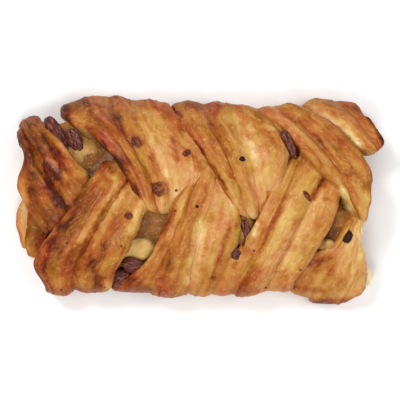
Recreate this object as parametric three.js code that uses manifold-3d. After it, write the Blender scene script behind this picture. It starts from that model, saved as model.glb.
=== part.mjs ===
// A maple pecan plait: flaky dough whose side strips are folded in turn over a maple and pecan filling.
// Millimetres, +Z up, +X along the pastry, origin on the table under the middle of its outline.

import * as THREE from "three";
import { mergeVertices } from "three/addons/utils/BufferGeometryUtils.js";
import Module from "manifold-3d";

const wasm = await Module();
wasm.setup();

// The loaf: the middle of every fold lies on one low dome, and the folds' feet stand on the table.
const HALF_LENGTH = 65;
const HALF_WIDTH = 31.5;
const CREST_HEIGHT = 21.5;
const ROOT_HEIGHT = 4.2;
const SIDE_POWER = 1.9;
const END_POWER = 4;
const OUTLINE_POWER = 4;
const FOOT_INSET = 2;
const FOOT_HEIGHT = -1;

// The dough below a fold's middle, the round form of its ridges, and where and how a fold closes.
const SOLE = 4;
const SOLE_SIDE = 0.75;
const ROUNDNESS = 2.2;
const SOFT_POWER = 2;
const ROOT_GROOVE_FADE = 0.6;
const ROOT_GROOVE_SPAN = [0.1, 0.34];
const LIFT_OVER = 0.3;
const SINK_FROM = 0.68;
const END_ROUNDING = 0.05;
const END_SIZE = 0.25;
const STEPS_PER_STATION = 3;
const RIDGE_SAMPLES = [-0.6, 0, 0.6];
const EDGE_SAMPLE = 0.92;
const MIDDLE = 0.6;

// The dough sheet under everything, and the air between two pieces.
const SHEET = {
  middle: [-2, 1],
  halfLength: 57,
  halfWidth: 28.5,
  height: 7,
  cornerPower: 4,
  edge: 1.6,
  swell: 0.3,
  shoulder: 0.75,
  sides: 40,
};
const GAP = 0.3;

// The filling, a low mound along the sheet, and the lumps that rise from its upper part: place, length and
// width, heading in degrees, and how far each stands up.
const FILLING = {
  middle: [1.5, 1],
  halfLength: 53.5,
  halfWidth: 25.5,
  floor: 4,
  crest: 18.2,
  power: 3,
  endPower: 4,
  endSize: 0.22,
  steps: 26,
  sides: 16,
};
const LUMPS_FROM = [0.5, 0.9];
const LUMPS = [
  { at: [-41.5, 18], size: [16, 13], heading: -50, rise: 1 },
  { at: [-20.8, -16.9], size: [11, 8], heading: 12, rise: 1.3 },
  { at: [15.6, -11.4], size: [18, 9], heading: -74, rise: 3.6 },
  { at: [43.4, -16], size: [7, 6], heading: -30, rise: 3.6 },
  { at: [47.5, -8], size: [20, 10], heading: 68, rise: 3.4 },
];

// The folds, in the order in which they were laid. Each is bounded and creased by lines that run from its
// root to its tip, as x and y, from left to right. A ridge rises between each two lines. lift raises each
// line over the folds before it, and sink is how deep the tip dives under the folds after it. grooves and
// shoulders are how high the dough stands at the inner and at the outer lines, as parts of a ridge's rise.
// crest moves each ridge's top to one side.
const FOLDS = {
  upper1: {
    lift: [-0.5, 0, -1],
    sink: 3,
    drop: 5,
    grooves: [0.4],
    shoulders: [0.3, 0.2],
    rise: [3.2, 3.6],
    crest: [0.1, -0.3],
    lines: [
      [[-57.4, 20.3], [-58.4, 14], [-60.9, 4.5], [-57.4, -4], [-50.5, -13.5]],
      [[-59.2, 23.9], [-56, 16.4], [-51, 7.8], [-47, 1.5], [-43.5, -5]],
      [[-54, 27.2], [-49.3, 22.5], [-44.3, 16.5], [-39, 10.5], [-34.5, 3.5]],
    ],
  },
  lower1: {
    lift: [1.8, 1, 0.2],
    sink: 4,
    grooves: [0.2],
    shoulders: [0.4, 0.2],
    rise: [4, 3.4],
    crest: [0.3, 0.4],
    lines: [
      [[-52.5, -28.3], [-56, -20], [-51, -12], [-44.6, -4.2], [-38, 4.5], [-31.5, 15]],
      [[-43, -28.3], [-42, -22.5], [-36.5, -12.5], [-30.5, -3], [-25.5, 4], [-21.5, 10.5]],
      [[-30, -27.3], [-27, -22], [-23, -15.5], [-19.5, -7.5], [-17.5, -2.5], [-14.5, 2.5]],
    ],
  },
  upper2: {
    lift: [2.6, 1.6, 0.8, 0],
    sink: 5,
    grooves: [0.5, 0.7],
    shoulders: [0.4, 0.2],
    rise: [3.6, 2.8, 3],
    crest: [0, 0, 0.1],
    lines: [
      [[-47, 28.8], [-44.5, 25], [-37, 22.5], [-31, 16], [-24, 6.5], [-18, -5]],
      [[-31.5, 33], [-28.5, 27], [-25.5, 21], [-21, 14], [-17, 6.5], [-14.5, -6]],
      [[-24.5, 31.8], [-21.5, 27], [-18.5, 20.5], [-15, 13.5], [-11, 5.5], [-10, -6]],
      [[-9, 29.5], [-2.5, 25], [1.5, 19.5], [3.5, 14], [1.5, 7.5], [-5, -2.5]],
    ],
  },
  lower2: {
    lift: [0.6, 1.4, 0.8, 0.2],
    sink: 4,
    grooves: [0.6, 0.65],
    shoulders: [0.3, 0.2],
    rise: [2.4, 3.6, 3],
    crest: [0, -0.1, 0],
    lines: [
      [[-29.5, -28.8], [-22, -24], [-14.8, -15.5], [-11.4, -7.5], [-7.6, 0], [0.5, 12.5]],
      [[-15.5, -29.2], [-13.5, -23.5], [-10, -15], [-7, -7.5], [-3.5, 0.5], [3, 14.5]],
      [[-4, -29.3], [-3, -23.5], [-1, -15], [1.5, -6.5], [4, 1], [7, 14.5]],
      [[5.2, -29.6], [9.5, -22], [13, -14.5], [14, -8.5], [13.5, -1], [11, 9]],
    ],
  },
  upper3: {
    lift: [2.8, 2, 1, 0.2],
    sink: 5,
    grooves: [0.5, 0.7],
    shoulders: [0.4, 0.2],
    rise: [3, 3.2, 3],
    crest: [0, 0, 0.1],
    lines: [
      [[-9, 30.4], [-5, 23.5], [0, 17], [4, 10.5], [8, 4], [14, -6.5]],
      [[2.5, 30.6], [4.5, 24.5], [8, 17], [11, 10], [14, 3], [17, -7.5]],
      [[9, 30], [12, 24.5], [14.5, 17], [17.5, 9.5], [18.5, 2], [19.5, -7]],
      [[21, 28.5], [25.5, 25], [29, 21], [30.5, 15], [28, 7.5], [22, -4]],
    ],
  },
  lower3: {
    lift: [0.4, 1.4, 1, 0.4],
    sink: 4,
    grooves: [0.6, 0.15],
    shoulders: [0.4, 0.3],
    rise: [2.8, 3.8, 3.4],
    crest: [0, -0.3, 0.45],
    lines: [
      [[4, -29.6], [8.5, -22.5], [13, -15.5], [17.8, -9], [23, 0], [33, 17]],
      [[12, -29.2], [16, -23], [19.8, -16], [23.5, -8.5], [27.8, 0.5], [35.5, 17]],
      [[22.5, -28.3], [25.5, -22.5], [30, -14.5], [35, -5], [38.8, 2.5], [45, 14]],
      [[32, -27.3], [35.5, -22], [40.3, -15.5], [44, -8.5], [46.5, -2], [48.5, 8]],
    ],
  },
  upper4Tab: {
    lift: [1.6, 0.8, 0],
    sink: 0,
    endRounding: 0.16,
    grooves: [0.6],
    shoulders: [0.2, 0.2],
    rise: [3.6, 3],
    crest: [0, 0],
    lines: [
      [[34.5, 29.3], [44, 25.5], [50.5, 20], [56.5, 14.6]],
      [[45.5, 31.5], [51.5, 27], [56, 21], [60.3, 15.3]],
      [[54.8, 29.6], [57.8, 26], [60.8, 21.5], [62.6, 17.8]],
    ],
  },
  lower4: {
    lift: [-0.6, -1.5, -1.5, -1.5],
    sink: 0,
    grooves: [0.9, 0.9],
    shoulders: [0.2, 0.2],
    rise: [1.6, 2.4, 2.8],
    crest: [0, 0, 0],
    lines: [
      [[30.8, -28.8], [34.2, -22.6], [39.2, -18], [45, -14.5], [50.8, -5.2]],
      [[38.5, -32.6], [42.5, -26], [46, -20], [48.3, -14], [52.2, -4.8]],
      [[47, -33.4], [50.5, -26.5], [51.5, -20], [52.5, -13.5], [53.6, -4.8]],
      [[56, -28], [57, -23], [56, -18.5], [54.7, -12.5], [55, -5.2]],
    ],
  },
  upper4: {
    lift: [3, 2.2, 1.6],
    sink: 2.5,
    grooves: [0.5],
    shoulders: [0.4, 0.3],
    rise: [3, 3.6],
    crest: [0, 0.1],
    lines: [
      [[19, 28.6], [26, 25.2], [33, 17.3], [40, 9.5], [46.2, 3.5], [51, -5]],
      [[25.5, 28.9], [31, 25.5], [38.5, 18.5], [45.5, 10.5], [49.5, 3], [53, -6.5]],
      [[34.5, 28.8], [43.5, 26], [51.5, 19], [57, 10.5], [57.6, 2.5], [55.4, -8.5]],
    ],
  },
};

// Low lobes of the sheet that curl up at the ends, in the same form. Their lift is a height above the table.
const LOBES = {
  endLip: {
    lift: [6, 6],
    rise: [2.4],
    lines: [
      [[-59.5, 1], [-62, -4.5], [-62, -11.5], [-60, -17]],
      [[-57, 1], [-57.5, -4.5], [-57.5, -11.5], [-55.5, -16]],
    ],
  },
  endCurl: {
    lift: [7.5, 8],
    rise: [1.6],
    lines: [
      [[-58.5, -3], [-59, -9], [-59.5, -14.5], [-58, -19.5]],
      [[-51, -3], [-51, -9], [-51.5, -15], [-53, -20]],
    ],
  },
  endFlake: {
    lift: [7, 5.5],
    rise: [1],
    lines: [
      [[55, -22], [56.5, -25.5], [56, -29]],
      [[57.2, -23], [59.4, -26], [58.6, -29.5]],
    ],
  },
};
const LOBE_SECTION = { grooves: [], shoulders: [0, 0], crest: [0] };

// Pecan pieces in the gaps: place, height of the middle, heading in degrees, and length, width and height.
const PECANS = [
  { at: [-48.3, 22.6, 14], heading: -57, size: [13, 5.4, 5] },
  { at: [-42.2, 20.2, 15.5], heading: -58, size: [8.8, 5.4, 5] },
  { at: [-22.3, -22, 15.6], heading: -12, size: [8.2, 5.6, 5.2] },
  { at: [-26.4, -26.4, 12.8], heading: 40, size: [7.6, 6.6, 5] },
  { at: [30.2, 18.7, 20.6], heading: -66, size: [10.4, 3.9, 4.2] },
  { at: [15.4, -10.2, 20.3], heading: -76, size: [8.2, 3.9, 3.8] },
  { at: [12.9, -17.8, 20.4], heading: 35, size: [4.8, 3.6, 3.4] },
];
const PECAN_GROOVES = 5;
const PECAN_GROOVE_DEPTH = 0.1;
const PECAN_TAPER = 0.22;
const PECAN_SIDES = 12;
const PECAN_RINGS = 7;

// Crumbs baked onto the folds, as x, y and radius. They are low bumps of the dough.
const CRUMBS = [
  [-21.4, 19.6, 2],
  [-13.6, 3.6, 2.8],
  [-4.4, 15.8, 1.5],
  [50, -12.6, 2.1],
];
const CRUMB_FLATNESS = 0.5;

const { lerp, smoothstep, degToRad } = THREE.MathUtils;

// The height of the dome on which the folds' middles lie.
function domeHeight(x, y) {
  const across = 1 - Math.min(1, Math.abs(y / HALF_WIDTH) ** SIDE_POWER);
  const along = 1 - Math.min(1, Math.abs(x / HALF_LENGTH) ** END_POWER);
  return ROOT_HEIGHT + (CREST_HEIGHT - ROOT_HEIGHT) * across ** (1 / SIDE_POWER) * along ** (1 / END_POWER);
}

// The foot below a root, on the table and a little inwards.
function footBelow(x, y) {
  const outward = new THREE.Vector3(
    (Math.sign(x) * Math.abs(x / HALF_LENGTH) ** (OUTLINE_POWER - 1)) / HALF_LENGTH,
    (Math.sign(y) * Math.abs(y / HALF_WIDTH) ** (OUTLINE_POWER - 1)) / HALF_WIDTH,
    0,
  ).normalize();
  return new THREE.Vector3(x, y, FOOT_HEIGHT).addScaledVector(outward, -FOOT_INSET);
}

// One line of a fold in space: over the dome from its foot to its tip.
function foldCurve(stations, lift, { sink, drop = 0 }) {
  const last = stations.length - 1;
  const points = stations.map(([x, y], i) => {
    const raised = lerp(-drop, lift, smoothstep(i / last, 0, LIFT_OVER));
    const sunk = sink * smoothstep(i / last, SINK_FROM, 1);
    return new THREE.Vector3(x, y, domeHeight(x, y) + raised - sunk);
  });
  points.unshift(footBelow(...stations[0]));
  return new THREE.CatmullRomCurve3(points, false, "catmullrom", 0.5);
}

function lobeCurve(stations, lift) {
  const points = stations.map(([x, y]) => new THREE.Vector3(x, y, lift));
  return new THREE.CatmullRomCurve3(points, false, "catmullrom", 0.5);
}

// How far a fold has closed at t: 1 along most of it, and round towards a closed end.
function closingAt(t, endRounding, closedRoot) {
  const fromEnd = (closedRoot ? Math.min(t, 1 - t) : 1 - t) / endRounding;
  return fromEnd >= 1 ? 1 : Math.max(END_SIZE, Math.sqrt(1 - (1 - fromEnd) ** 2));
}

// The height of a ridge's section at u, which is -1 at its left line and 1 at its right one. It is steep at
// its sides where softness is 0, and runs out flat where softness is 1.
function archAt(u, crest, softness) {
  const side = u < crest ? (u - crest) / (1 + crest) : (u - crest) / (1 - crest);
  return Math.max(0, 1 - Math.abs(side) ** ROUNDNESS) ** lerp(1 / ROUNDNESS, SOFT_POWER, softness ** 2);
}

// The points round a fold's section at t: over its ridges from left to right, then back below them.
function sectionAt(curves, { rise, grooves, shoulders, crest }, t, closing, facing) {
  const centres = curves.map((curve) => curve.getPoint(t));
  const last = curves.length - 1;
  const ups = curves.map((curve, i) => {
    const across = centres[Math.min(i + 1, last)].clone().sub(centres[Math.max(i - 1, 0)]);
    return curve.getTangent(t).cross(across).normalize().multiplyScalar(facing);
  });
  const heart = centres[0].clone().lerp(centres[last], 0.5);
  const at = (ridge, u, height) => {
    const part = (u + 1) / 2;
    const point = centres[ridge].clone().lerp(centres[ridge + 1], part).lerp(heart, 1 - closing);
    const up = ups[ridge].clone().lerp(ups[ridge + 1], part).normalize();
    return point.addScaledVector(up, height * closing);
  };
  const shallow = ROOT_GROOVE_FADE * (1 - smoothstep(t, ...ROOT_GROOVE_SPAN));
  const levels = [shoulders[0], ...grooves.map((groove) => lerp(groove, 1, shallow)), shoulders[1]];
  const heightAt = (ridge, u) => {
    const level = lerp(levels[ridge], levels[ridge + 1], (u + 1) / 2);
    const isOuter = (ridge === 0 && u < crest[ridge]) || (ridge === last - 1 && u > crest[ridge]);
    return rise[ridge] * (level + (1 - level) * archAt(u, crest[ridge], isOuter ? 0 : level));
  };
  const points = [];
  for (let ridge = 0; ridge < last; ridge++) {
    const samples = [...RIDGE_SAMPLES, 1];
    if (ridge === 0) samples.unshift(-1, -EDGE_SAMPLE);
    if (ridge === last - 1) samples.splice(-1, 0, EDGE_SAMPLE);
    for (const u of samples) points.push(at(ridge, u, heightAt(ridge, u)));
  }
  points.push(at(last - 1, SOLE_SIDE, -SOLE_SIDE * SOLE));
  for (let ridge = last - 1; ridge >= 0; ridge--) points.push(at(ridge, 0, -SOLE));
  points.push(at(0, -SOLE_SIDE, -SOLE_SIDE * SOLE));
  return points;
}

// The closed surface of a fold or a lobe.
function foldGeometry(curves, shape, closedRoot) {
  const steps = (curves[0].points.length - 1) * STEPS_PER_STATION;
  const { endRounding = END_ROUNDING } = shape;
  const across = curves[1].getPoint(MIDDLE).sub(curves[0].getPoint(MIDDLE));
  const facing = Math.sign(curves[0].getTangent(MIDDLE).cross(across).z);
  const rings = [];
  for (let step = 0; step <= steps; step++) {
    const t = step / steps;
    rings.push(sectionAt(curves, shape, t, closingAt(t, endRounding, closedRoot), facing));
  }
  return tubeGeometry(rings);
}

// Rings with the same number of points each, joined into one closed surface with a flat end at each side.
function tubeGeometry(rings) {
  const sides = rings[0].length;
  const at = (ring, side) => ring * sides + (side % sides);
  const corners = [];
  for (let ring = 0; ring < rings.length - 1; ring++)
    for (let side = 0; side < sides; side++) {
      corners.push(at(ring, side), at(ring + 1, side), at(ring + 1, side + 1));
      corners.push(at(ring, side), at(ring + 1, side + 1), at(ring, side + 1));
    }
  for (const ring of [0, rings.length - 1])
    for (const [a, b, c] of endTriangles(rings[ring])) {
      const end = [at(ring, a), at(ring, b), at(ring, c)];
      corners.push(...(ring === 0 ? end : end.reverse()));
    }
  const geometry = new THREE.BufferGeometry().setFromPoints(rings.flat());
  geometry.setIndex(corners);
  return geometry;
}

// The triangles that fill a nearly flat ring, wound the way the ring runs.
function endTriangles(ring) {
  const centre = ring.reduce((sum, p) => sum.add(p), new THREE.Vector3()).divideScalar(ring.length);
  const normal = new THREE.Vector3();
  ring.forEach((p, i) => {
    const next = ring[(i + 1) % ring.length];
    normal.add(p.clone().sub(centre).cross(next.clone().sub(centre)));
  });
  normal.normalize();
  const right = ring[0].clone().sub(centre);
  right.addScaledVector(normal, -right.dot(normal)).normalize();
  const up = normal.clone().cross(right);
  const flat = ring.map((p) => {
    const arm = p.clone().sub(centre);
    return new THREE.Vector2(arm.dot(right), arm.dot(up));
  });
  return THREE.ShapeUtils.triangulateShape(flat, []);
}

// A closed geometry as a solid for joining and cutting, turned outwards if it was inside out.
function solidOf(geometry) {
  const bare = geometry.clone();
  bare.deleteAttribute("normal");
  bare.deleteAttribute("uv");
  const merged = mergeVertices(bare, 1e-4);
  const vertProperties = merged.attributes.position.array;
  const triVerts = new Uint32Array(merged.index.array);
  const solid = new wasm.Manifold(new wasm.Mesh({ numProp: 3, vertProperties, triVerts }));
  if (solid.volume() > 0) return solid;
  return new wasm.Manifold(new wasm.Mesh({ numProp: 3, vertProperties, triVerts: triVerts.reverse() }));
}

function geometryOf(solid) {
  const mesh = solid.getMesh();
  const geometry = new THREE.BufferGeometry();
  geometry.setAttribute("position", new THREE.BufferAttribute(mesh.vertProperties, 3));
  geometry.setIndex(new THREE.BufferAttribute(mesh.triVerts, 1));
  geometry.computeVertexNormals();
  return geometry;
}

// The dough sheet: a plate with rounded corners, its edge drawn in at the table and at the top.
function sheetGeometry() {
  const levels = [
    [FOOT_HEIGHT, -SHEET.edge],
    [SHEET.height * SHEET.swell, 0],
    [SHEET.height * SHEET.shoulder, -SHEET.edge * SHEET.swell],
    [SHEET.height, -SHEET.edge],
  ];
  const reach = (value) => Math.sign(value) * Math.abs(value) ** (2 / SHEET.cornerPower);
  const rings = levels.map(([height, grown]) =>
    Array.from({ length: SHEET.sides }, (_, i) => {
      const angle = (i / SHEET.sides) * Math.PI * 2;
      const x = SHEET.middle[0] + (SHEET.halfLength + grown) * reach(Math.cos(angle));
      const y = SHEET.middle[1] + (SHEET.halfWidth + grown) * reach(Math.sin(angle));
      return new THREE.Vector3(x, y, height);
    }),
  );
  return tubeGeometry(rings);
}

// How far a lump stands up at a place: a round mound over an ellipse, grown by margin on each side.
function moundAt(x, y, { at, size, heading, rise }, margin) {
  const arm = new THREE.Vector2(x - at[0], y - at[1]).rotateAround(new THREE.Vector2(), -degToRad(heading));
  const along = arm.x / (size[0] / 2 + margin);
  const across = arm.y / (size[1] / 2 + margin);
  return rise * Math.sqrt(Math.max(0, 1 - along ** 2 - across ** 2));
}

// The filling: a long low mound from one end of the pastry to the other, with its lumps. margin makes the
// room cut for it.
function fillingGeometry(margin = 0) {
  const rings = [];
  for (let step = 0; step <= FILLING.steps; step++) {
    const along = -Math.cos((step / FILLING.steps) * Math.PI);
    const inwards = (1 - Math.abs(along) ** FILLING.endPower) ** (1 / FILLING.endPower);
    const narrow = Math.max(FILLING.endSize, inwards);
    const floor = FILLING.floor - margin;
    const crest = (FILLING.crest - FILLING.floor) * narrow + 2 * margin;
    const x = FILLING.middle[0] + along * (FILLING.halfLength + margin);
    const ring = [];
    for (let side = 0; side <= FILLING.sides; side++) {
      const angle = (side / FILLING.sides) * Math.PI;
      const wide = Math.sign(Math.cos(angle)) * Math.abs(Math.cos(angle)) ** (2 / FILLING.power);
      const high = Math.sin(angle) ** (2 / FILLING.power);
      const y = FILLING.middle[1] + wide * (FILLING.halfWidth * narrow + margin);
      const mounds = LUMPS.reduce((sum, lump) => sum + moundAt(x, y, lump, 2 * margin), 0);
      ring.push(new THREE.Vector3(x, y, floor + crest * high + mounds * smoothstep(high, ...LUMPS_FROM)));
    }
    rings.push(ring);
  }
  return tubeGeometry(rings);
}

// A piece of pecan: a long drop with grooves along it.
function pecanGeometry({ at, heading, size }, margin = 0) {
  const geometry = new THREE.SphereGeometry(1, PECAN_SIDES, PECAN_RINGS);
  geometry.deleteAttribute("normal");
  geometry.deleteAttribute("uv");
  const shape = mergeVertices(geometry, 1e-4);
  const positions = shape.attributes.position;
  const point = new THREE.Vector3();
  for (let i = 0; i < positions.count; i++) {
    point.fromBufferAttribute(positions, i);
    const round = Math.atan2(point.z, point.x);
    const groove = 1 - PECAN_GROOVE_DEPTH * (1 + Math.cos(PECAN_GROOVES * round));
    const taper = 1 - PECAN_TAPER * point.y;
    point.set(point.y, point.x * groove * taper, point.z * groove * taper);
    point.multiply(new THREE.Vector3(...size).multiplyScalar(0.5).addScalar(margin));
    positions.setXYZ(i, point.x, point.y, point.z);
  }
  shape.rotateZ(degToRad(heading));
  shape.translate(...at);
  return shape;
}

// A crumb on the surface of the dough, found by looking straight down at it.
function crumbGeometry([x, y, radius], surface) {
  const ray = new THREE.Raycaster(new THREE.Vector3(x, y, 2 * CREST_HEIGHT), new THREE.Vector3(0, 0, -1));
  const top = ray.intersectObject(surface)[0].point.z;
  const geometry = new THREE.IcosahedronGeometry(radius, 1);
  geometry.scale(1, 1, CRUMB_FLATNESS);
  geometry.translate(x, y, top);
  return geometry;
}

const doughMaterial = new THREE.MeshStandardMaterial({ color: 0xc98a4a, roughness: 0.5, metalness: 0 });
const fillingMaterial = new THREE.MeshStandardMaterial({ color: 0x8a5a32, roughness: 0.35, metalness: 0 });
const pecanMaterial = new THREE.MeshStandardMaterial({ color: 0x5a2e24, roughness: 0.55, metalness: 0 });

// The folds and lobes on their sheet, cut flat by the table.
let dough = solidOf(sheetGeometry());
for (const fold of Object.values(FOLDS)) {
  const curves = fold.lines.map((stations, i) => foldCurve(stations, fold.lift[i], fold));
  dough = dough.add(solidOf(foldGeometry(curves, fold, false)));
}
for (const lobe of Object.values(LOBES)) {
  const curves = lobe.lines.map((stations, i) => lobeCurve(stations, lobe.lift[i]));
  dough = dough.add(solidOf(foldGeometry(curves, { ...LOBE_SECTION, ...lobe }, true)));
}
const surface = new THREE.Mesh(geometryOf(dough), doughMaterial);
for (const crumb of CRUMBS) dough = dough.add(solidOf(crumbGeometry(crumb, surface)));
const below = new THREE.BoxGeometry(4 * HALF_LENGTH, 4 * HALF_WIDTH, CREST_HEIGHT);
dough = dough.subtract(solidOf(below.translate(0, 0, -CREST_HEIGHT / 2)));

// The room for the filling and the pecans.
dough = dough.subtract(solidOf(fillingGeometry(GAP)));
let filling = solidOf(fillingGeometry());
for (const pecan of PECANS) {
  const room = solidOf(pecanGeometry(pecan, GAP));
  dough = dough.subtract(room);
  filling = filling.subtract(room);
}
dough = dough.decompose().sort((a, b) => b.volume() - a.volume())[0];

const plait = new THREE.Group();
function addPiece(name, solid, material) {
  const mesh = new THREE.Mesh(geometryOf(solid), material);
  mesh.name = name;
  plait.add(mesh);
}
addPiece("dough", dough, doughMaterial);
addPiece("filling", filling, fillingMaterial);
PECANS.forEach((pecan, i) => addPiece(`pecan_${i + 1}`, solidOf(pecanGeometry(pecan)), pecanMaterial));

export default plait;
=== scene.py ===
import math

import bmesh
import bpy
import numpy as np
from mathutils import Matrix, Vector
from mathutils.bvhtree import BVHTree


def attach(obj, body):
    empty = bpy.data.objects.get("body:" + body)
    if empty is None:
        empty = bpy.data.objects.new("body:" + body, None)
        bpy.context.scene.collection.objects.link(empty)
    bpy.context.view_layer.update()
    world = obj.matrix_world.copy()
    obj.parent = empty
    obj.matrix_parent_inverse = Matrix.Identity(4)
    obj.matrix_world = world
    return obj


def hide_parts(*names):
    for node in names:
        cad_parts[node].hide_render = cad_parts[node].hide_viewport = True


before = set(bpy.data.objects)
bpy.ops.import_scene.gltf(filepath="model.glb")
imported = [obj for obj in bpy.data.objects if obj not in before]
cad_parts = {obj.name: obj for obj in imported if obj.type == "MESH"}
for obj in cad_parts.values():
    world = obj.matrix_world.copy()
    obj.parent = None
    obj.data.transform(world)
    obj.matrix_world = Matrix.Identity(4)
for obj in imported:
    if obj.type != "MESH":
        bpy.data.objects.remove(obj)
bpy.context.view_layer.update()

# A maple pecan plait, seen from straight above: the looks over the plain solids of the frame.
# The tables below are in millimetres and degrees. A mesh becomes metres when it is made.
MM = 0.001

# The loaf: the middle of every fold lies on one low dome, and the folds' feet stand on the table.
HALF_LENGTH = 65
HALF_WIDTH = 31.5
CREST_HEIGHT = 21.5
ROOT_HEIGHT = 4.2
SIDE_POWER = 1.9
END_POWER = 4
OUTLINE_POWER = 4
FOOT_INSET = 2
FOOT_HEIGHT = -1

# The section of a fold, and where and how it closes. STEP is the size of the mesh's cells.
SOLE = 4
SOLE_POWER = 6
ROUNDNESS = 2.2
SOFT_POWER = 2
LIFT_OVER = 0.3
SINK_FROM = 0.68
END_ROUNDING = 0.05
END_SIZE = 0.245
ROOT_GROOVE_FADE = 0.6
ROOT_GROOVE_SPAN = (0.1, 0.34)
STEP = 0.46
LEAST_COLUMNS = 8
UNDERSIDE_COLUMNS = 12
# Where along a fold its top surely faces up.
FACES_UP_AT = 0.6

# Layers of noise: height, size of the lumps and seed. On a strip the three sizes are along it, across it,
# and from one strip to the next.
LINE_WANDER = [(0.5, 7, 11), (0.28, 2.6, 12)]
STREAK_WANDER = [(0.5, 2.4, 35), (0.4, 0.9, 36)]
STRIP_WARP = [(1.2, (6, 4, 9), 26), (0.6, (2.2, 2, 9), 27)]
SKIN_FOLDS = [(0.45, (9, 4, 9), 21), (0.25, (4, 2, 4), 22)]
SKIN_PLEATS = [(0.26, (13, 1.9, 9), 23), (0.15, (6, 0.95, 9), 24)]
SKIN_BLISTERS = [(0.12, (1.5, 1.2, 2), 25)]
SHEET_RELIEF = [(0.4, 6, 41), (0.2, 2.5, 42)]
FILLING_UNEVEN = [(0.3, 4.5, 51)]
FILLING_GRAINS = [(0.2, 2.6, 52)]
SOFT_UNEVEN = [(0.5, 2.4, 53)]
SOFT_GRAINS = [(0.3, 1.3, 54)]
# Strips that lie side by side take their noise this far apart.
STRIP_SPACING = 13.7
FOLD_SPACING = 31.0
LINE_SPACING = 7.7

# The flakes on a strip: one for each stretch of its width, and how high the highest stands.
FLAKE_SPACING = 1.5
FLAKE_HEIGHT = 0.42

# The plain dough sheet under everything, and the filling laid along it.
SHEET = {"middle": (-2, 1), "half_length": 57, "half_width": 28.5, "height": 7, "power": 4, "edge": 1.6}
FILLING = {
    "middle": (1.5, 1), "half_length": 53.5, "half_width": 25.5, "floor": 4, "crest": 18.2,
    "power": 3, "end_power": 4,
}
# How far the filling reaches into the dough, so that no crack shows.
CLING = 0.1
# How often the creases in the dough are smoothed, and by how much each time.
CREASE_ROUNDS = 14
CREASE_STEP = 0.6
# Lumps on the filling: x and y, length and width, heading, how far they stand up, and how pale they are,
# from 0 for brown jelly to 1 for soft white dough.
FILLING_LUMPS = [
    (-41.5, 18, 16, 13, -50, 1, 0.3),
    (-36, 12.4, 7, 7, 0, -0.6, -0.9),
    (-20.8, -16.9, 11, 8, 12, 1.3, 1),
    (15.6, -11.4, 18, 9, -74, 3.6, 0.15),
    (43.4, -16, 7, 6, -30, 3.6, 1),
    (47.5, -8, 20, 10, 68, 3.4, -0.3),
]

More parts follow.
